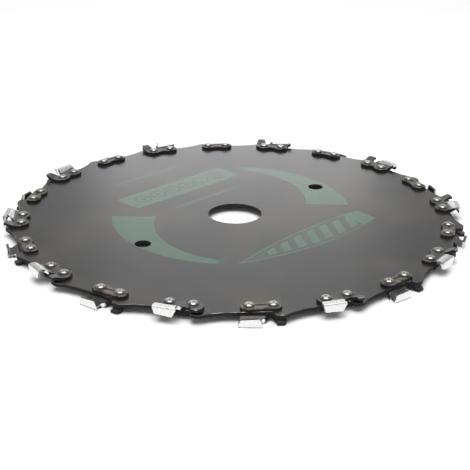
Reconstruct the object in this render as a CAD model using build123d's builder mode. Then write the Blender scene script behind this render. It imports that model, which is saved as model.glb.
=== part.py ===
"""Clearing disc with saw-chain teeth, for an angle grinder or brush cutter spindle.

A thin steel disc carries twenty teeth on its rim. Each tooth is one saw-chain cutter link on one face and one
tie strap on the other, held by two rivets that pass through the rim. The cutter links alternate between the
upper and the lower face. Units are millimetres. The origin is the centre of the arbor bore on the disc's
middle plane, +Z is the spindle axis, and tooth 01 and one pin hole lie on +X. Every tooth leads
counter-clockwise seen from +Z.
"""

from build123d import *
import os
from math import cos, radians, sin, sqrt, tan

# ---- Driving dimensions ------------------------------------------------------------------------------------
BORE_D = 25.4  # arbor bore, 1 inch
PLATE_T = 1.6  # disc plate
PLATE_EDGE_BREAK = 0.15
PIN_HOLE_D = 7.5  # two drive-pin holes
PIN_CIRCLE_D = 110.0

TOOTH_COUNT = 20
TOOTH_PITCH = 360.0 / TOOTH_COUNT

RIVET_CIRCLE_R = 100.0
RIVET_SPACING = 9.6  # two rivets of one 3/8 inch chain link
RIVET_HUB_R = 2.1  # in the disc plate
RIVET_NECK_R = 1.6  # in the links
RIVET_HEAD_R = 2.25
RIVET_HEAD_H = 0.9
RIVET_DIMPLE_R = 0.55
RIVET_DIMPLE_DEPTH = 0.2

LINK_T = 1.45  # sheet of the cutter body and of the tie strap
LINK_EDGE_BREAK = 0.25
STRAP_LENGTH = 16.6
STRAP_WIDTH = 6.4
STRAP_WAIST_DEPTH = 0.8
STRAP_EDGE_BREAK = 0.4
STRAP_GROOVE = (4.6, 1.1, 0.25)  # length, width, depth
STRAP_GROOVE_OUT = 0.3  # from the rivets' line

TOOTH_X = 108.9  # outer face of the top plate, level with the cutting corner
TOP_PLATE_T = 1.15
TOP_PLATE_LENGTH = 9.7
TOP_PLATE_REACH = 0.35  # past the disc's middle plane
CORNER_Y = -0.1  # the cutting corner, just behind the tooth's middle
SIDE_PLATE_TOP = 3.65  # outer face of the side plate, above the middle plane
FOLD_R = 0.9
RELIEF_ANGLE = 6.5  # the top plate falls away behind its cutting edge
TOP_PLATE_TAPER = 0.8  # its free edge rises this much towards the heel
FILING_ANGLE = 25.0  # slant of the cutting edge across the tooth
FILE_R = 2.2
FILE_ABOVE = 0.45  # how far the file stands above the cutting edge

GAUGE_X = 107.6  # depth gauge tip
GAUGE_TOP = 3.45  # its outer face, a little under the side plate's
GAUGE_T = 1.25
GAUGE_REAR_Y = 4.4
GAUGE_FRONT_Y = 9.3
GULLET_X = 103.2  # body edge between the depth gauge and the cutting edge

# ---- Derived planes and places -----------------------------------------------------------------------------
PLATE_FACE = PLATE_T / 2  # height of the disc's upper face
LINK_FACE = PLATE_FACE + LINK_T
HEAD_TOP = LINK_FACE + RIVET_HEAD_H
RIVET_Y = RIVET_SPACING / 2
RIVET_X = sqrt(RIVET_CIRCLE_R**2 - RIVET_Y**2)
RIVET_PLACES = [(RIVET_X, -RIVET_Y), (RIVET_X, RIVET_Y)]


def turned(x, y, tooth):
    """A point of a tooth's own frame, x outward and y leading, at that tooth's place on the disc."""
    angle = radians(tooth * TOOTH_PITCH)
    return (x * cos(angle) - y * sin(angle), x * sin(angle) + y * cos(angle))


def rounded(points):
    """Draw a closed outline from points given as x, y and corner radius."""
    FilletPolyline(*[(x, y) for x, y, _ in points], radius=[r for _, _, r in points], close=True)


def write(part, name):
    """Name a finished piece and write its STEP file."""
    part.label = name
    export_step(part, f"parts/{name}.step")


os.makedirs("parts", exist_ok=True)

# ---- Disc plate --------------------------------------------------------------------------------------------
# The rim of one tooth: x outward, y leading, corner radius. A low seat under the links, then a tang that
# backs the depth gauge, then a long slope down to the next seat.
RIM_TOOTH = [
    (102.5, -15.6, 8.0),
    (103.4, 4.2, 0.8),
    (106.6, 5.2, 1.0),
    (106.9, 8.5, 1.4),
    (104.4, 12.4, 5.0),
]
rim_points = []
for tooth in range(TOOTH_COUNT):
    for x, y, corner_r in RIM_TOOTH:
        rim_points.append((*turned(x, y, tooth), corner_r))

with BuildPart() as disc_plate:
    with BuildSketch(Plane.XY.offset(-PLATE_FACE)):
        with BuildLine():
            rounded(rim_points)
        make_face()
        Circle(BORE_D / 2, mode=Mode.SUBTRACT)
        with PolarLocations(PIN_CIRCLE_D / 2, 2):
            Circle(PIN_HOLE_D / 2, mode=Mode.SUBTRACT)
    extrude(amount=PLATE_T)
    rim_edges = [face.outer_wire().edges() for face in disc_plate.faces().filter_by(Plane.XY)]
    chamfer([edge for edges in rim_edges for edge in edges], length=PLATE_EDGE_BREAK)
    with BuildSketch(Plane.XY.offset(-PLATE_FACE)):
        with PolarLocations(0, TOOTH_COUNT):
            with Locations(*RIVET_PLACES):
                Circle(RIVET_HUB_R)
    extrude(amount=PLATE_T, mode=Mode.SUBTRACT)
write(disc_plate.part, "disc_plate")

# ---- Tie strap ---------------------------------------------------------------------------------------------
# Outline from the trailing end: straight along the outside, two round ends, and a shallow waist on the hub
# side.
STRAP_OUTER_X = RIVET_X + STRAP_WIDTH / 2
STRAP_INNER_X = RIVET_X - STRAP_WIDTH / 2
STRAP_WAIST_X = STRAP_INNER_X + STRAP_WAIST_DEPTH
STRAP_END_Y = STRAP_LENGTH / 2
STRAP_OUTLINE = [
    (STRAP_OUTER_X, -STRAP_END_Y, 3.0),
    (STRAP_OUTER_X, STRAP_END_Y, 3.0),
    (STRAP_INNER_X, STRAP_END_Y, 3.0),
    (STRAP_INNER_X, 3.0, 1.6),
    (STRAP_WAIST_X, 1.3, 1.6),
    (STRAP_WAIST_X, -1.3, 1.6),
    (STRAP_INNER_X, -3.0, 1.6),
    (STRAP_INNER_X, -STRAP_END_Y, 3.0),
]

with BuildPart() as upper_strap:
    with BuildSketch(Plane.XY.offset(PLATE_FACE)):
        with BuildLine():
            rounded(STRAP_OUTLINE)
        make_face()
    extrude(amount=LINK_T)
    chamfer(upper_strap.faces().sort_by(Axis.Z)[-1].edges(), length=STRAP_EDGE_BREAK)
    with BuildSketch(Plane.XY.offset(PLATE_FACE)):
        with Locations(*RIVET_PLACES):
            Circle(RIVET_NECK_R)
    extrude(amount=LINK_T, mode=Mode.SUBTRACT)
    # A shallow coined groove runs between the rivets.
    with BuildSketch(Plane.XY.offset(LINK_FACE - STRAP_GROOVE[2])):
        with Locations((RIVET_X + STRAP_GROOVE_OUT, 0)):
            SlotOverall(STRAP_GROOVE[0], STRAP_GROOVE[1], rotation=90)
    extrude(amount=STRAP_GROOVE[2], mode=Mode.SUBTRACT)

# ---- Cutter link -------------------------------------------------------------------------------------------
# Section of the bent sheet at the leading corner: x outward, z up, corner radius. From the body it flares up
# and out past the rivet heads, folds, and crosses the rim as the top plate.
SIDE_ROOT_X = 102.3
SIDE_BEND_X = 103.4
FLARE_TOP_X = 106.0
TOP_PLATE_INNER_X = TOOTH_X - TOP_PLATE_T
SECTION = [
    (SIDE_ROOT_X, PLATE_FACE, 0),
    (SIDE_ROOT_X, LINK_FACE, 0),
    (SIDE_BEND_X, LINK_FACE, 1.5),
    (FLARE_TOP_X, SIDE_PLATE_TOP, 1.2),
    (TOOTH_X, SIDE_PLATE_TOP, FOLD_R),
    (TOOTH_X, -TOP_PLATE_REACH, 0.2),
    (TOP_PLATE_INNER_X, -TOP_PLATE_REACH, 0.2),
    (TOP_PLATE_INNER_X, SIDE_PLATE_TOP - TOP_PLATE_T, 0.4),
    (FLARE_TOP_X + 0.4, SIDE_PLATE_TOP - TOP_PLATE_T, 1.0),
    (SIDE_BEND_X + 0.5, PLATE_FACE, 0),
]
# The section plane looks backwards along the top plate, tilted by the relief angle: its own x is outward and
# its own y is up.
relief = radians(RELIEF_ANGLE)
section_plane = Plane(
    origin=(TOOTH_X, 0, 0), x_dir=(cos(relief), -sin(relief), 0), z_dir=(-sin(relief), -cos(relief), 0)
)

# Plan of the top plate, seen from outside the disc: y leading, z up. It narrows towards the heel.
BLADE_FRONT_Y = 4.0  # trimmed back later by the file
BLADE_CLEAR = 1.0  # how far the cutting outlines stand off the sheet
BLADE_DEPTH = 12.0  # from outside the top plate to inside the body
TOP_PLATE_HEEL_Y = CORNER_Y - TOP_PLATE_LENGTH
FREE_EDGE_Z = -TOP_PLATE_REACH - 0.2
BLADE_PLAN = [
    (BLADE_FRONT_Y, SIDE_PLATE_TOP + BLADE_CLEAR),
    (BLADE_FRONT_Y, FREE_EDGE_Z),
    (TOP_PLATE_HEEL_Y + 0.8, FREE_EDGE_Z + TOP_PLATE_TAPER),
    (TOP_PLATE_HEEL_Y, SIDE_PLATE_TOP - FOLD_R),
    (TOP_PLATE_HEEL_Y, SIDE_PLATE_TOP + BLADE_CLEAR),
]
# Side view of the heel: x outward, y leading. The side plate starts short and runs back to the top plate's
# heel.
BLADE_SIDE = [
    (SIDE_ROOT_X - 2.0, TOP_PLATE_HEEL_Y + 2.4),
    (TOOTH_X - 2.6, TOP_PLATE_HEEL_Y),
    (TOOTH_X + 2.0, TOP_PLATE_HEEL_Y),
    (TOOTH_X + 2.0, BLADE_FRONT_Y),
    (SIDE_ROOT_X - 2.0, BLADE_FRONT_Y),
]

# The round file lies along the cutting edge, which slants back from the side plate. In the file's own plane,
# x is outward from the top plate's face and y is forward. The gullet runs on from under the file to the body.
file_x = FILE_ABOVE - FILE_R
file_y = sqrt(FILE_R**2 - file_x**2)
filing = radians(FILING_ANGLE)
file_plane = Plane(
    origin=(TOOTH_X, CORNER_Y, SIDE_PLATE_TOP - FOLD_R), x_dir=(1, 0, 0), z_dir=(0, sin(filing), cos(filing))
)
GULLET_OUT_X = FILE_ABOVE + 4.0  # clear of the top plate
GULLET_FRONT_Y = file_y + 12.0  # clear of the blank's leading end
GULLET_FLOOR_RISE = 2.2  # the gullet's floor slopes forward to the body
FILE_STROKE = 20.0  # half the length of the cut
GULLET_CUT = [
    (GULLET_OUT_X, file_y),
    (GULLET_OUT_X, GULLET_FRONT_Y),
    (SIDE_ROOT_X - TOOTH_X, GULLET_FRONT_Y),
    (SIDE_ROOT_X - TOOTH_X, file_y + GULLET_FLOOR_RISE),
    (file_x - FILE_R, file_y),
]

with BuildPart() as blade:
    with BuildSketch(section_plane):
        with BuildLine():
            rounded([(x - TOOTH_X, z, r) for x, z, r in SECTION])
        make_face()
    extrude(amount=TOP_PLATE_LENGTH + BLADE_FRONT_Y, both=True)
    with BuildSketch(Plane.YZ.offset(TOOTH_X + BLADE_CLEAR - BLADE_DEPTH)):
        with BuildLine():
            Polyline(*BLADE_PLAN, close=True)
        make_face()
    extrude(amount=BLADE_DEPTH, mode=Mode.INTERSECT)
    with BuildSketch(Plane.XY.offset(-TOP_PLATE_REACH - BLADE_CLEAR)):
        with BuildLine():
            Polyline(*BLADE_SIDE, close=True)
        make_face()
    extrude(amount=SIDE_PLATE_TOP + TOP_PLATE_REACH + 2 * BLADE_CLEAR, mode=Mode.INTERSECT)
    with BuildSketch(file_plane):
        with BuildLine():
            Polyline(*GULLET_CUT, close=True)
        make_face()
        with Locations((file_x, file_y)):
            Circle(FILE_R)
    extrude(amount=FILE_STROKE, both=True, mode=Mode.SUBTRACT)

# Flat body: x outward, y leading, corner radius. The two lobes and the waist face the hub, and the gullet
# lies between the cutting edge and the depth gauge.
HEEL_Y = -8.5
heel_x = SIDE_BEND_X + HEEL_Y * tan(relief)
BODY_OUTLINE = [
    (96.5, HEEL_Y, 3.0),
    (96.5, -3.0, 1.6),
    (97.9, -1.3, 1.6),
    (97.9, 1.3, 1.6),
    (96.5, 3.0, 1.6),
    (96.5, 6.4, 1.8),
    (99.6, GAUGE_FRONT_Y, 2.2),
    (SIDE_BEND_X, GAUGE_FRONT_Y, 0),
    (SIDE_BEND_X, GAUGE_REAR_Y + 0.2, 0),
    (GULLET_X, GAUGE_REAR_Y - 0.4, 0.6),
    (GULLET_X, 0.0, 0.3),
    (heel_x, HEEL_Y, 2.6),
]

# The depth gauge flares out of the body like the side plate, and its tip is cut off square. Section: x
# outward, z up, corner radius. Plan: x outward, y leading, corner radius.
GAUGE_SECTION = [
    (SIDE_ROOT_X, PLATE_FACE, 0),
    (SIDE_ROOT_X, LINK_FACE, 0),
    (SIDE_BEND_X, LINK_FACE, 1.5),
    (FLARE_TOP_X, GAUGE_TOP, 1.2),
    (GAUGE_X, GAUGE_TOP, 0.25),
    (GAUGE_X, GAUGE_TOP - GAUGE_T, 0.2),
    (FLARE_TOP_X + 0.4, GAUGE_TOP - GAUGE_T, 1.0),
    (SIDE_BEND_X + 0.5, PLATE_FACE, 0),
]
GAUGE_PLAN = [
    (SIDE_ROOT_X - 1.0, GAUGE_REAR_Y - 0.4, 0),
    (GULLET_X, GAUGE_REAR_Y - 0.4, 1.2),
    (GAUGE_X - 1.8, GAUGE_REAR_Y + 1.0, 1.2),
    (GAUGE_X + 1.0, GAUGE_REAR_Y + 1.2, 0),
    (GAUGE_X + 1.0, GAUGE_FRONT_Y - 1.6, 0),
    (GAUGE_X - 1.6, GAUGE_FRONT_Y, 1.5),
    (SIDE_ROOT_X - 1.0, GAUGE_FRONT_Y, 0),
]

GAUGE_CLEAR = 2.0  # how far the section runs past the plan at each end

with BuildPart() as gauge:
    with BuildSketch(Plane.XZ.offset(GAUGE_CLEAR - GAUGE_REAR_Y)):
        with BuildLine():
            rounded(GAUGE_SECTION)
        make_face()
    extrude(amount=GAUGE_REAR_Y - GAUGE_FRONT_Y - 2 * GAUGE_CLEAR)
    with BuildSketch(Plane.XY):
        with BuildLine():
            rounded(GAUGE_PLAN)
        make_face()
    extrude(amount=GAUGE_TOP + BLADE_CLEAR, mode=Mode.INTERSECT)

with BuildPart() as upper_cutter:
    with BuildSketch(Plane.XY.offset(PLATE_FACE)):
        with BuildLine():
            rounded(BODY_OUTLINE)
        make_face()
    extrude(amount=LINK_T)
    chamfer(upper_cutter.faces().sort_by(Axis.Z)[-1].edges(), length=LINK_EDGE_BREAK)
    add(blade.part)
    add(gauge.part)
    with BuildSketch(Plane.XY.offset(PLATE_FACE)):
        with Locations(*RIVET_PLACES):
            Circle(RIVET_NECK_R)
    extrude(amount=LINK_T, mode=Mode.SUBTRACT)

# ---- Rivet -------------------------------------------------------------------------------------------------
# Half section: radius, height. The hub fills the hole in the disc, the necks fill the links, and both ends
# are spun over into domed heads with a small dimple.
RIVET_SECTION = [
    (0, HEAD_TOP - RIVET_DIMPLE_DEPTH),
    (RIVET_DIMPLE_R, HEAD_TOP),
    (RIVET_HEAD_R - 0.75, HEAD_TOP),
    (RIVET_HEAD_R - 0.15, HEAD_TOP - 0.45),
    (RIVET_HEAD_R, LINK_FACE + 0.15),
    (RIVET_HEAD_R - 0.1, LINK_FACE),
    (RIVET_NECK_R, LINK_FACE),
    (RIVET_NECK_R, PLATE_FACE),
    (RIVET_HUB_R, PLATE_FACE),
    (RIVET_HUB_R, 0),
]
with BuildPart() as rivet:
    with BuildSketch(Plane.XZ):
        with BuildLine():
            Polyline(*RIVET_SECTION)
            mirror(about=Plane.XZ)
            Line((0, HEAD_TOP - RIVET_DIMPLE_DEPTH), (0, RIVET_DIMPLE_DEPTH - HEAD_TOP))
        make_face()
    revolve(axis=Axis.Z)

# ---- Teeth around the rim ----------------------------------------------------------------------------------
# Odd teeth carry the cutter on the upper face and the strap on the lower, even teeth the other way up.
with BuildPart() as lower_cutter:
    mirror(upper_cutter.part, about=Plane.XY)
with BuildPart() as lower_strap:
    mirror(upper_strap.part, about=Plane.XY)

for tooth in range(TOOTH_COUNT):
    if tooth % 2 == 0:
        cutter_master, strap_master = upper_cutter.part, lower_strap.part
    else:
        cutter_master, strap_master = lower_cutter.part, upper_strap.part
    at_tooth = Location((0, 0, 0), (0, 0, tooth * TOOTH_PITCH))
    with BuildPart() as cutter:
        with Locations(at_tooth):
            add(cutter_master)
    write(cutter.part, f"cutter_{tooth + 1:02d}")
    with BuildPart() as strap:
        with Locations(at_tooth):
            add(strap_master)
    write(strap.part, f"tie_strap_{tooth + 1:02d}")

rivet_places = [turned(x, y, tooth) for tooth in range(TOOTH_COUNT) for x, y in RIVET_PLACES]
with BuildPart() as rivets:
    with Locations(*rivet_places):
        add(rivet.part)
write(rivets.part, "rivets")
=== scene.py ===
"""Looks for the saw-chain tooth cutting disc: materials, print, studio floor, light and camera."""

import math

import bpy
from mathutils import Matrix, Vector


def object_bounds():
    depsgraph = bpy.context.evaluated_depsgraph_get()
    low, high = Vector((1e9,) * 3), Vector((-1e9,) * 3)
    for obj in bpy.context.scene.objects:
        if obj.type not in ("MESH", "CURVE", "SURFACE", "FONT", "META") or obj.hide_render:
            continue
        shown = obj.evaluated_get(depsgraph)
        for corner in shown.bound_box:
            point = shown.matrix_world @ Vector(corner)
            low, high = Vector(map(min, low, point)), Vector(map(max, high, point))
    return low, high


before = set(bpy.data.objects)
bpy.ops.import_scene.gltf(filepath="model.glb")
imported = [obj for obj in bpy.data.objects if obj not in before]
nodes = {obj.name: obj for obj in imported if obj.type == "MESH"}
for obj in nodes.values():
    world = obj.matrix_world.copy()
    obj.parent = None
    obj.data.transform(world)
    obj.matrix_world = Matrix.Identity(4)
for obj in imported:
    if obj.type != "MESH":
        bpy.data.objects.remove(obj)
cad_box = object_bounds()
MM = 0.001

# ---- Facts of the part, in millimetres ---------------------------------------------------------------------
TOOTH_COUNT = 20
TOOTH_PITCH = 2 * math.pi / TOOTH_COUNT
RIVET_CIRCLE_R = 100.0
RIVET_HALF_SPACING = 4.8
RIVET_X = math.sqrt(RIVET_CIRCLE_R**2 - RIVET_HALF_SPACING**2)


# ---- Shader graph helpers ----------------------------------------------------------------------------------
class Graph:
    """A material's node tree with short methods for the nodes used here."""

    def __init__(self, name):
        self.material = bpy.data.materials.new(name)
        self.material.use_nodes = True
        self.tree = self.material.node_tree
        self.tree.nodes.clear()

    def node(self, kind, **settings):
        made = self.tree.nodes.new(kind)
        for key, value in settings.items():
            setattr(made, key, value)
        return made

    def feed(self, socket, value):
        """Set a socket to a number, a colour or another node's output."""
        if isinstance(value, bpy.types.NodeSocket):
            self.tree.links.new(value, socket)
        elif isinstance(value, (tuple, list)) and len(value) == 3 and socket.type == "RGBA":
            socket.default_value = (*value, 1.0)
        else:
            socket.default_value = value

    def math(self, operation, *values, clamp=False):
        made = self.node("ShaderNodeMath", operation=operation, use_clamp=clamp)
        for socket, value in zip(made.inputs, values):
            self.feed(socket, value)
        return made.outputs[0]

    def add(self, a, b):
        return self.math("ADD", a, b)

    def sub(self, a, b):
        return self.math("SUBTRACT", a, b)

    def mul(self, a, b):
        return self.math("MULTIPLY", a, b)

    def both(self, *masks):
        """The product of several masks."""
        out = masks[0]
        for mask in masks[1:]:
            out = self.mul(out, mask)
        return out

    def either(self, *masks):
        """The highest of several masks."""
        out = masks[0]
        for mask in masks[1:]:
            out = self.math("MAXIMUM", out, mask)
        return out

    def flip(self, mask):
        return self.sub(1.0, mask)

    def step(self, value, low, high):
        """Smooth 0 to 1 as value goes from low to high; falling if low is above high."""
        rising = low < high
        made = self.node("ShaderNodeMapRange", interpolation_type="SMOOTHSTEP")
        self.feed(made.inputs["Value"], value)
        self.feed(made.inputs["From Min"], low if rising else high)
        self.feed(made.inputs["From Max"], high if rising else low)
        self.feed(made.inputs["To Min"], 0.0 if rising else 1.0)
        self.feed(made.inputs["To Max"], 1.0 if rising else 0.0)
        return made.outputs["Result"]

    def mix(self, factor, a, b):
        """Numbers blended by a mask."""
        made = self.node("ShaderNodeMix", data_type="FLOAT")
        self.feed(made.inputs[0], factor)
        self.feed(made.inputs[2], a)
        self.feed(made.inputs[3], b)
        return made.outputs[0]

    def mix_colour(self, factor, a, b):
        made = self.node("ShaderNodeMix", data_type="RGBA")
        self.feed(made.inputs[0], factor)
        self.feed(made.inputs[6], a)
        self.feed(made.inputs[7], b)
        return made.outputs[2]

    def split(self, vector):
        made = self.node("ShaderNodeSeparateXYZ")
        self.feed(made.inputs[0], vector)
        return made.outputs

    def join(self, x, y, z):
        made = self.node("ShaderNodeCombineXYZ")
        for socket, value in zip(made.inputs, (x, y, z)):
            self.feed(socket, value)
        return made.outputs[0]

    def noise(self, place, scale, detail=3.0, roughness=0.5):
        """Noise from 0 to 1 about 0.5; scale is in features per millimetre."""
        made = self.node("ShaderNodeTexNoise")
        self.feed(made.inputs["Vector"], place)
        made.inputs["Scale"].default_value = scale
        made.inputs["Detail"].default_value = detail
        made.inputs["Roughness"].default_value = roughness
        return made.outputs["Fac"]

    def length(self, a, b):
        """The length of a two-way offset."""
        return self.math("SQRT", self.add(self.mul(a, a), self.mul(b, b)))

    def size(self, value):
        """A number without its sign."""
        return self.math("ABSOLUTE", value)

    def repeat(self, value, pitch):
        """How far value is into its cell of a row of equal cells."""
        return self.math("FLOORED_MODULO", value, pitch)

    def wave(self, value, per_mm):
        """A sine from 0 to 1."""
        return self.add(self.mul(self.math("SINE", self.mul(value, per_mm * 2 * math.pi)), 0.5), 0.5)

    def scratch(self, x, y, angle, stretch, scale):
        """Thin broken straight lines at an angle: contours of a noise stretched along them."""
        c, s = math.cos(angle), math.sin(angle)
        along = self.add(self.mul(x, c), self.mul(y, s))
        across = self.sub(self.mul(y, c), self.mul(x, s))
        place = self.join(self.mul(along, stretch), self.mul(across, 2.2), 0.0)
        lines = self.noise(place, scale, 2.0, 0.5)
        return self.step(self.size(self.sub(lines, 0.5)), 0.012, 0.004)

    def place_mm(self):
        """Position on the part in millimetres."""
        where = self.node("ShaderNodeTexCoord").outputs["Object"]
        made = self.node("ShaderNodeVectorMath", operation="SCALE")
        self.feed(made.inputs[0], where)
        made.inputs["Scale"].default_value = 1 / MM
        return made.outputs[0]

    def normal(self):
        return self.node("ShaderNodeNewGeometry").outputs["True Normal"]

    def bump(self, height, distance_mm, strength):
        made = self.node("ShaderNodeBump")
        made.inputs["Strength"].default_value = strength
        made.inputs["Distance"].default_value = distance_mm * MM
        self.feed(made.inputs["Height"], height)
        return made.outputs[0]

    def surface(self, colour, metallic, roughness, normal=None, specular=0.5):
        shader = self.node("ShaderNodeBsdfPrincipled")
        self.feed(shader.inputs["Base Color"], colour)
        self.feed(shader.inputs["Metallic"], metallic)
        self.feed(shader.inputs["Roughness"], roughness)
        shader.inputs["Specular IOR Level"].default_value = specular
        if normal is not None:
            self.feed(shader.inputs["Normal"], normal)
        out = self.node("ShaderNodeOutputMaterial")
        self.tree.links.new(shader.outputs[0], out.inputs["Surface"])
        return self.material

    def tooth_frame(self, place):
        """Position and normal in the nearest tooth's own frame: outward, leading, up; and its number."""
        x, y, z = self.split(place)
        nx, ny, nz = self.split(self.normal())
        angle = self.math("ARCTAN2", y, x)
        index = self.math("ROUND", self.math("DIVIDE", angle, TOOTH_PITCH))
        turn = self.mul(index, TOOTH_PITCH)
        c, s = self.math("COSINE", turn), self.math("SINE", turn)

        def turned(a, b):
            outward = self.add(self.mul(a, c), self.mul(b, s))
            leading = self.sub(self.mul(b, c), self.mul(a, s))
            return outward, leading

        return (*turned(x, y), z), (*turned(nx, ny), nz), index


BLACK = (0.004, 0.004, 0.004)  # near black: painted shade on the vertical faces, over dark cut steel, and round the rivet heads, over oil


# ---- Disc paint and print ----------------------------------------------------------------------------------
PRINT_TURN = math.radians(42.985)  # from the disc's +X to the print's own +X
PRINT_CENTRE = (-1.4, 3.9)

# Two crescents, each the half turn of the other about the print's centre: circles as (x, y, radius).
CRESCENT_OUTER = (0.9, -4.9, 57.6)
CRESCENT_INNER = (9.4, -14.9, 45.3)
CRESCENT_FLAT_Y = -9.1
CRESCENT_TIP_X = -4.0

# The banner: a framed bar with a row of hexagons, and a dashed line on either side of it.
BANNER_CENTRE = (-28.6, 35.0)
BANNER_TURN = math.radians(45.7)
BANNER_HALF = (34.5, 8.1)
BANNER_CORNER_R = 2.0
HEXAGON_PITCH = 9.6
HEXAGON_HALF_ROW = 3 * HEXAGON_PITCH
HEXAGON_REACH = (2.95, 4.25)  # inner and outer half width of its outline
HEXAGON_DOT_R = 1.35
DASH_LINE_V = 22.3
DASH_LINE_SHIFT = 2.4
DASH_HALF_LENGTH = 21.0
DASH_HALF_WIDTH = 1.35
DASH_PITCH = 3.2
DASH_GAP = 0.8

# The swoosh: a leaf between two curved lines, filled with slanted bars.
SWOOSH_TIP = (2.5, -58.0)
SWOOSH_TURN = math.radians(40.4)
SWOOSH_LENGTH = 84.0
SWOOSH_BLOCK_U = 73.75  # solid from here to its blunt end
SWOOSH_BARS_U = 13.25  # bars from here on
SWOOSH_BAR_PITCH = 8.4
SWOOSH_BAR_WIDTH = 4.8


def circle_inside(g, x, y, circle, soft=0.25):
    """1 inside a circle given as centre and radius."""
    cx, cy, radius = circle
    return g.step(g.length(g.sub(x, cx), g.sub(y, cy)), radius + soft, radius - soft)


def own_axes(g, x, y, origin, angle):
    """A point in axes turned by an angle about an origin."""
    dx, dy = g.sub(x, origin[0]), g.sub(y, origin[1])
    c, s = math.cos(angle), math.sin(angle)
    u = g.add(g.mul(dx, c), g.mul(dy, s))
    v = g.sub(g.mul(dy, c), g.mul(dx, s))
    return u, v


def crescents(g, x, y):
    """Mask of the two crescents: both are folded onto one by a half turn."""
    qx, qy = g.sub(x, PRINT_CENTRE[0]), g.sub(y, PRINT_CENTRE[1])
    half = g.math("SIGN", qy)
    mx, my = g.mul(qx, g.mul(half, -1.0)), g.mul(g.size(qy), -1.0)
    return g.both(
        circle_inside(g, mx, my, CRESCENT_OUTER),
        g.flip(circle_inside(g, mx, my, CRESCENT_INNER)),
        g.step(my, CRESCENT_FLAT_Y + 0.3, CRESCENT_FLAT_Y - 0.3),
        g.step(mx, CRESCENT_TIP_X + 4.0, CRESCENT_TIP_X - 4.0),
    )


def banner(g, x, y):
    """Mask of the framed bar with its hexagons, and of the dashed lines."""
    u, v = own_axes(g, x, y, BANNER_CENTRE, BANNER_TURN)
    over_u = g.math("MAXIMUM", g.sub(g.size(u), BANNER_HALF[0] - BANNER_CORNER_R), 0.0)
    over_v = g.math("MAXIMUM", g.sub(g.size(v), BANNER_HALF[1] - BANNER_CORNER_R), 0.0)
    bar = g.step(g.length(over_u, over_v), BANNER_CORNER_R + 0.25, BANNER_CORNER_R - 0.25)

    cell = g.sub(g.repeat(g.add(u, HEXAGON_HALF_ROW), HEXAGON_PITCH), HEXAGON_PITCH / 2)
    across = g.size(cell)
    up = g.size(v)
    hexagon = g.math("MAXIMUM", up, g.add(g.mul(across, math.sqrt(0.75)), g.mul(up, 0.5)))
    inner, outer = HEXAGON_REACH
    outline = g.both(g.step(hexagon, inner - 0.15, inner + 0.15), g.step(hexagon, outer + 0.15, outer - 0.15))
    dot = g.step(g.length(cell, v), HEXAGON_DOT_R + 0.15, HEXAGON_DOT_R - 0.15)
    row = g.step(g.size(u), HEXAGON_HALF_ROW + 0.1, HEXAGON_HALF_ROW - 0.1)
    figure = g.both(g.either(outline, dot), row)

    beside = g.size(g.sub(g.size(g.sub(v, DASH_LINE_SHIFT)), DASH_LINE_V))
    dash_cell = g.repeat(g.add(u, g.mul(v, 0.5)), DASH_PITCH)
    dashes = g.both(
        g.step(beside, DASH_HALF_WIDTH + 0.15, DASH_HALF_WIDTH - 0.15),
        g.step(g.size(u), DASH_HALF_LENGTH + 0.5, DASH_HALF_LENGTH - 0.5),
        g.step(dash_cell, DASH_GAP - 0.2, DASH_GAP + 0.2),
    )
    return g.either(g.mul(bar, g.flip(g.mul(figure, 0.62))), g.mul(dashes, 0.75))


def swoosh(g, x, y):
    """Mask of the leaf: an edge line, slanted bars and a solid blunt end."""
    u, v = own_axes(g, x, y, SWOOSH_TIP, SWOOSH_TURN)
    upper = g.mul(u, g.sub(0.33, g.mul(u, 0.0022)))
    lower = g.mul(g.mul(u, -0.33), g.sub(1.0, g.mul(u, 1 / SWOOSH_LENGTH)))
    below_upper = g.sub(upper, v)
    above_lower = g.sub(v, lower)
    along = g.both(g.step(u, -0.3, 0.3), g.step(u, SWOOSH_LENGTH + 0.3, SWOOSH_LENGTH - 0.3))
    leaf = g.both(g.step(below_upper, -0.2, 0.2), g.step(above_lower, -0.2, 0.2), along)
    nearest = g.math("MINIMUM", below_upper, above_lower)
    edge_line = g.step(nearest, 1.5, 1.1)
    end_block = g.step(u, SWOOSH_BLOCK_U - 0.25, SWOOSH_BLOCK_U + 0.25)
    slant = g.repeat(g.sub(u, g.mul(v, 0.55)), SWOOSH_BAR_PITCH)
    bar = g.both(
        g.step(slant, 0.0, 0.4),
        g.step(slant, SWOOSH_BAR_WIDTH + 0.2, SWOOSH_BAR_WIDTH - 0.2),
        g.step(nearest, 2.6, 3.0),
        g.step(u, SWOOSH_BARS_U - 0.25, SWOOSH_BARS_U + 0.25),
    )
    backing = g.mul(g.step(nearest, 1.9, 2.3), 0.3)
    return g.mul(leaf, g.either(g.mul(edge_line, 0.75), end_block, bar, backing))


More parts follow.
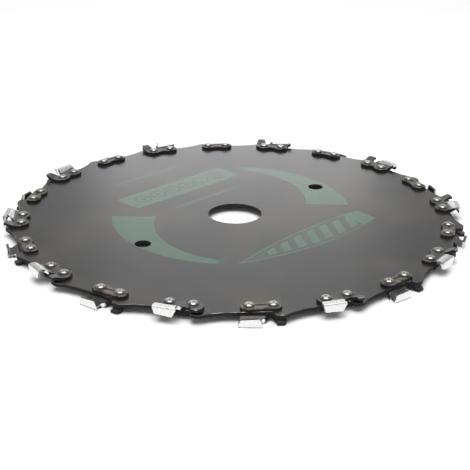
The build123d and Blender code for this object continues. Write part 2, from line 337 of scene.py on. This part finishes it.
def disc_paint():
    """Black satin paint with a thin green print on the upper face, bright on the rim's edge breaks from paint
    wear and a painted highlight, with painted shade on the vertical faces.
    """
    g = Graph("disc_paint")
    place = g.place_mm()
    x, y, _ = g.split(place)
    nz = g.split(g.normal())[2]
    top = g.step(nz, 0.90, 0.97)

    blotches = g.noise(place, 0.022, 3.0, 0.55)
    smear = g.noise(place, 0.07, 5.0, 0.65)
    peel = g.noise(place, 1.1, 2.0, 0.5)
    grit = g.noise(place, 4.0, 3.0, 0.7)
    dark = (0.0115, 0.0115, 0.0110)
    warm = (0.0340, 0.0265, 0.0205)
    colour = g.mix_colour(g.step(blotches, 0.44, 0.64), dark, warm)

    c, s = math.cos(PRINT_TURN), math.sin(PRINT_TURN)
    px = g.sub(g.mul(x, c), g.mul(y, s))
    py = g.add(g.mul(x, s), g.mul(y, c))
    ink = g.either(crescents(g, px, py), banner(g, px, py), swoosh(g, px, py))
    ink = g.both(ink, top, g.mix(g.step(grit, 0.25, 0.45), 0.75, 1.0), g.mix(smear, 0.7, 1.15))
    colour = g.mix_colour(ink, colour, (0.040, 0.096, 0.064))

    # Fine scratches in two directions, only on the flat faces.
    scratches = g.either(
        g.scratch(x, y, math.radians(28), 0.045, 1.9), g.scratch(x, y, math.radians(-57), 0.06, 1.7)
    )
    scratches = g.both(scratches, g.step(smear, 0.52, 0.66))
    colour = g.mix_colour(g.mul(scratches, 0.10), colour, (0.20, 0.20, 0.20))

    # Paint thinned by wear on the edge breaks of the rim, lightened partly for that wear and partly as a
    # painted highlight; the vertical faces painted black, as painted shade over the dark cut edge.
    edge = g.both(g.step(g.size(nz), 0.35, 0.5), g.step(g.size(nz), 0.92, 0.85))
    rubbed_and_highlit = g.both(edge, g.step(g.noise(place, 0.35, 4.0, 0.65), 0.44, 0.60))
    shaded_wall = g.step(g.size(nz), 0.35, 0.2)
    colour = g.mix_colour(shaded_wall, colour, BLACK)
    colour = g.mix_colour(rubbed_and_highlit, colour, (0.20, 0.195, 0.185))

    roughness = g.add(g.add(g.mul(smear, 0.05), g.mul(grit, 0.03)), 0.21)
    roughness = g.mix(shaded_wall, roughness, 0.9)
    normal = g.bump(g.add(peel, g.mul(scratches, -0.4)), 0.012, 0.5)
    return g.surface(colour, g.mul(rubbed_and_highlit, 0.7), roughness, normal)


# ---- Tooth steel -------------------------------------------------------------------------------------------
CHROME_FROM_X = 103.75
CHROME_TO_Y = 0.9
HEEL_CHROME_X = 104.6
TOOTH_X = 108.9
FILE_AXIS_X = 107.15
FILE_R = 2.2
FILE_SLANT = math.radians(25.0)
CORNER_Y = -0.1
FILE_CORNER_Z = 2.75
SIDE_ROOT_X = 102.3
GAUGE_FROM_Y = 3.7  # just behind the depth gauge
GAUGE_TIP_X = 106.9


def folded(g, tooth):
    """Height and its normal in a tooth's frame, flipped on the teeth whose cutter is on the lower face."""
    place, normal, index = tooth
    odd = g.repeat(index, 2.0)
    side = g.sub(1.0, g.mul(odd, 2.0))
    return g.mul(place[2], side), g.mul(normal[2], side)


def rivet_reach(g, x, y):
    """Distance from the nearest rivet's axis, from a point of the tooth's frame."""
    return g.length(g.sub(x, RIVET_X), g.sub(g.size(y), RIVET_HALF_SPACING))


def oil_and_shade_ring(g, x, y):
    """A dark ring round each rivet's head: oil and dirt, and painted contact shade under the head."""
    return g.step(rivet_reach(g, x, y), 2.8, 2.25)


def cutter_steel():
    """A bent chain cutter: chromed outside, black oxide inside and on its body, bright where it is filed;
    painted shade on its vertical faces and round the rivets, and edge breaks lightened by wear and a painted
    highlight.
    """
    g = Graph("cutter_steel")
    place = g.place_mm()
    tooth = g.tooth_frame(place)
    (x, y, _), (nx, ny, _), _ = tooth
    z, nz = folded(g, tooth)
    grain = g.noise(place, 2.4, 4.0, 0.65)
    patches = g.noise(place, 0.28, 4.0, 0.6)

    outer_side = g.step(g.add(nx, nz), 0.25, 0.5)
    bent = g.both(outer_side, g.step(x, CHROME_FROM_X - 0.1, CHROME_FROM_X + 0.1))
    heel = g.both(g.step(ny, -0.5, -0.8), g.step(x, HEEL_CHROME_X - 0.2, HEEL_CHROME_X + 0.2))
    front = g.both(g.step(ny, 0.45, 0.7), g.step(x, TOOTH_X - 2.2, TOOTH_X - 1.8), g.step(z, 2.2, 2.8))
    chrome = g.both(g.either(bent, heel, front), g.step(y, CHROME_TO_Y, CHROME_TO_Y - 0.3))

    # The file runs along the cutting edge: distance from its axis marks the hollow it leaves.
    back_y = g.sub(g.sub(y, CORNER_Y), g.mul(g.sub(z, FILE_CORNER_Z), math.tan(FILE_SLANT)))
    file_y = g.mul(back_y, math.cos(FILE_SLANT))
    half_chord = math.sqrt(FILE_R**2 - (TOOTH_X - FILE_AXIS_X) ** 2)
    reach = g.length(g.sub(x, FILE_AXIS_X), g.sub(file_y, half_chord))
    ground = g.both(
        g.step(g.size(g.sub(reach, FILE_R)), 0.14, 0.08),
        g.step(ny, 0.02, 0.08),
        g.step(x, 103.9, 104.4),
        g.step(z, 2.9, 2.3),
        g.step(nz, 0.30, 0.10),
    )

    on_gauge = g.step(y, GAUGE_FROM_Y - 0.2, GAUGE_FROM_Y + 0.2)
    break_x = g.mix(on_gauge, CHROME_FROM_X, SIDE_ROOT_X)
    # Edge breaks and the depth gauge's end lightened: partly wear, partly a painted highlight.
    edge = g.both(g.step(nz, 0.45, 0.6), g.step(nz, 0.92, 0.82), g.step(g.sub(x, break_x), 0.1, -0.1))
    tip_worn_and_highlit = g.both(
        on_gauge,
        g.step(x, GAUGE_TIP_X - 0.3, GAUGE_TIP_X + 0.3),
        g.step(g.add(nx, nz), 0.5, 0.8),
        g.step(nz, 0.05, 0.2),
    )
    worn_and_highlit = g.both(g.either(g.mul(edge, 0.45), tip_worn_and_highlit), g.step(patches, 0.38, 0.54))

    # Vertical faces painted near black: painted shade over the dark oxide.
    shaded_wall = g.step(g.size(nz), 0.85, 0.75)
    oxide = g.mix_colour(g.step(patches, 0.35, 0.7), (0.045, 0.044, 0.042), (0.095, 0.090, 0.083))
    oxide = g.mix_colour(shaded_wall, oxide, BLACK)
    bright = g.mix_colour(g.step(grain, 0.40, 0.60), (0.64, 0.64, 0.63), (0.84, 0.84, 0.83))
    # Dark ring round each rivet head: oil, and painted contact shade.
    oxide = g.mix_colour(g.mul(oil_and_shade_ring(g, x, y), 0.7), oxide, BLACK)
    colour = g.mix_colour(g.mul(worn_and_highlit, 0.8), oxide, (0.42, 0.41, 0.40))
    colour = g.mix_colour(chrome, colour, bright)
    colour = g.mix_colour(ground, colour, (0.86, 0.86, 0.85))

    sheen = g.mul(g.flip(shaded_wall), 0.35)
    metal = g.either(chrome, ground, g.mul(worn_and_highlit, 0.9), sheen)
    bare = g.either(chrome, ground, worn_and_highlit)
    dull = g.mix(shaded_wall, g.add(g.mul(patches, 0.2), 0.28), 0.8)
    roughness = g.mix(bare, dull, g.add(g.mul(grain, 0.16), 0.20))
    file_lines = g.wave(g.add(file_y, x), 5.0)
    height = g.mix(ground, g.mul(grain, g.mix(chrome, 0.6, 1.0)), file_lines)
    return g.surface(colour, metal, roughness, g.bump(height, 0.02, 0.45), specular=0.4)


def strap_steel():
    """A plain link of dark browned steel with a shallow coined groove, light along its edges from wear and a
    painted highlight, with painted shade on its vertical faces and round the rivets.
    """
    g = Graph("strap_steel")
    place = g.place_mm()
    (x, y, _), (_, _, nz), _ = g.tooth_frame(place)
    flat = g.size(nz)
    grain = g.noise(place, 2.0, 4.0, 0.6)
    patches = g.noise(place, 0.3, 4.0, 0.6)

    across = g.size(g.sub(x, RIVET_X))
    # Edge breaks lightened: partly wear, partly a painted highlight.
    edge = g.both(g.step(flat, 0.4, 0.55), g.step(flat, 0.92, 0.82))
    worn_and_highlit = g.both(g.mul(edge, 0.5), g.step(patches, 0.38, 0.56))
    stamped = g.both(g.step(g.size(y), 2.9, 2.4), g.step(across, 1.2, 1.6), g.step(across, 2.2, 1.9))

    steel = g.mix_colour(g.step(patches, 0.3, 0.7), (0.075, 0.066, 0.055), (0.180, 0.155, 0.125))
    # Vertical faces painted near black: painted shade over the dark steel.
    shaded_wall = g.step(flat, 0.85, 0.75)
    steel = g.mix_colour(shaded_wall, steel, BLACK)
    # Dark ring round each rivet head: oil, and painted contact shade.
    steel = g.mix_colour(g.mul(oil_and_shade_ring(g, x, y), 0.7), steel, BLACK)
    colour = g.mix_colour(g.mul(stamped, 0.35), steel, (0.12, 0.11, 0.10))
    colour = g.mix_colour(g.mul(worn_and_highlit, 0.75), colour, (0.40, 0.38, 0.35))
    metal = g.either(g.mul(worn_and_highlit, 0.9), g.mul(g.flip(shaded_wall), 0.45))
    roughness = g.mix(shaded_wall, g.add(g.mul(patches, 0.2), g.mix(worn_and_highlit, 0.28, 0.22)), 0.8)
    return g.surface(colour, metal, roughness, g.bump(grain, 0.02, 0.4), specular=0.4)


def rivet_steel():
    """Bright spun-over heads with turning marks, a darker band round the crown, and painted shade in the
    centre hollow and on the near-black rim of the head.
    """
    g = Graph("rivet_steel")
    place = g.place_mm()
    (x, y, _), _, _ = g.tooth_frame(place)
    from_axis = rivet_reach(g, x, y)
    grain = g.noise(place, 2.2, 3.0, 0.6)
    patches = g.noise(place, 0.6, 3.0, 0.6)
    # Painted shade: near black on the outer rim of the head, dark in the centre hollow.
    shaded_skirt = g.step(from_axis, 1.82, 2.02)
    crown = g.both(g.step(from_axis, 1.30, 1.45), g.step(from_axis, 1.72, 1.58))
    dimple_shade = g.step(from_axis, 0.62, 0.40)
    bright = g.mix_colour(g.step(grain, 0.35, 0.65), (0.37, 0.355, 0.33), (0.62, 0.60, 0.565))
    # A patchy darker band round the crown.
    crown_darkening = g.mul(crown, g.mix(g.step(patches, 0.3, 0.7), 0.85, 0.40))
    colour = g.mix_colour(crown_darkening, bright, (0.085, 0.078, 0.068))
    colour = g.mix_colour(g.mul(shaded_skirt, 0.85), colour, (0.012, 0.011, 0.010))
    colour = g.mix_colour(g.mul(dimple_shade, 0.85), colour, (0.06, 0.057, 0.052))
    turned = g.wave(from_axis, 3.5)
    roughness = g.add(g.mul(grain, 0.12), 0.24)
    height = g.add(g.mul(turned, 0.25), g.mul(grain, 0.35))
    return g.surface(colour, g.mix(shaded_skirt, 1.0, 0.3), roughness, g.bump(height, 0.02, 0.3))


def dress_nodes():
    """Give every CAD node its material by the start of its name."""
    by_start = {
        "disc_plate": disc_paint(),
        "cutter": cutter_steel(),
        "tie_strap": strap_steel(),
        "rivets": rivet_steel(),
    }
    for name, piece in nodes.items():
        start = next(key for key in by_start if name.startswith(key))
        piece.data.materials.clear()
        piece.data.materials.append(by_start[start])


# ---- Studio ------------------------------------------------------------------------------------------------
def studio_floor():
    """A white floor under the disc."""
    half = 3.0
    z = cad_box[0].z
    mesh = bpy.data.meshes.new("studio_floor")
    corners = [(-half, -half, z), (half, -half, z), (half, half, z), (-half, half, z)]
    mesh.from_pydata(corners, [], [(0, 1, 2, 3)])
    floor = bpy.data.objects.new("studio_floor", mesh)
    bpy.context.scene.collection.objects.link(floor)
    g = Graph("studio_floor")
    mesh.materials.append(g.surface((0.95, 0.95, 0.95), 0.0, 0.9))


def studio_world():
    """Bright towards the horizon and dim overhead."""
    world = bpy.data.worlds.new("studio")
    bpy.context.scene.world = world
    world.use_nodes = True
    tree = world.node_tree
    back = tree.nodes["Background"]
    place = tree.nodes.new("ShaderNodeTexCoord")
    parts = tree.nodes.new("ShaderNodeSeparateXYZ")
    ramp = tree.nodes.new("ShaderNodeMapRange")
    ramp.interpolation_type = "SMOOTHSTEP"
    ramp.inputs["From Min"].default_value = 0.05
    ramp.inputs["From Max"].default_value = 0.75
    ramp.inputs["To Min"].default_value = 0.97
    ramp.inputs["To Max"].default_value = 0.20
    tree.links.new(place.outputs["Generated"], parts.inputs[0])
    tree.links.new(parts.outputs["Z"], ramp.inputs["Value"])
    tree.links.new(ramp.outputs["Result"], back.inputs["Strength"])
    back.inputs["Color"].default_value = (1, 1, 1, 1)


def softbox(name, place, width, height, radiance):
    """A rectangular area light aimed at the disc's centre."""
    data = bpy.data.lights.new(name, "AREA")
    data.shape = "RECTANGLE"
    data.size, data.size_y = width, height
    data.energy = radiance * math.pi * width * height
    lamp = bpy.data.objects.new(name, data)
    bpy.context.scene.collection.objects.link(lamp)
    turn = (-place).to_track_quat("-Z", "Y").to_matrix()
    lamp.matrix_world = Matrix.Translation(place) @ turn.to_4x4()


def studio_lights():
    """One broad softbox above and a little in front of the disc, and three smaller ones behind it."""
    back = Vector((0.669, 0.743, 0.0))  # level, from the camera's side across the disc
    softbox("overhead", Vector((0, 0, 1.2)) - back * 0.4, 1.1, 1.1, 4.4)
    softbox("top_back", Vector((0, 0, 1.2)) + back * 0.5, 0.6, 0.6, 2.6)
    softbox("low_back", Vector((0, 0, 0.40)) + back * 1.5, 0.55, 0.28, 1.9)
    softbox("high_back", Vector((0, 0, 0.92)) + back * 1.5, 0.60, 0.30, 0.9)


def camera():
    """The camera looks down on the near rim from about 22 degrees above the disc's plane."""
    data = bpy.data.cameras.new("camera")
    cam = bpy.data.objects.new("camera", data)
    bpy.context.scene.collection.objects.link(cam)
    data.sensor_width = 36.0
    data.lens = 82.27
    data.clip_start, data.clip_end = 0.01, 20.0
    spot = Vector((-317.9, -353.2, 191.05)) * MM
    aim = Vector((0.6161, 0.6842, -0.3903))
    turn = aim.to_track_quat("-Z", "Y").to_matrix() @ Matrix.Rotation(math.radians(0.26), 3, "Z")
    cam.matrix_world = Matrix.Translation(spot) @ turn.to_4x4()
    bpy.context.scene.camera = cam


dress_nodes()
studio_floor()
studio_world()
studio_lights()
camera()
bpy.context.scene.view_settings.view_transform = "Standard"
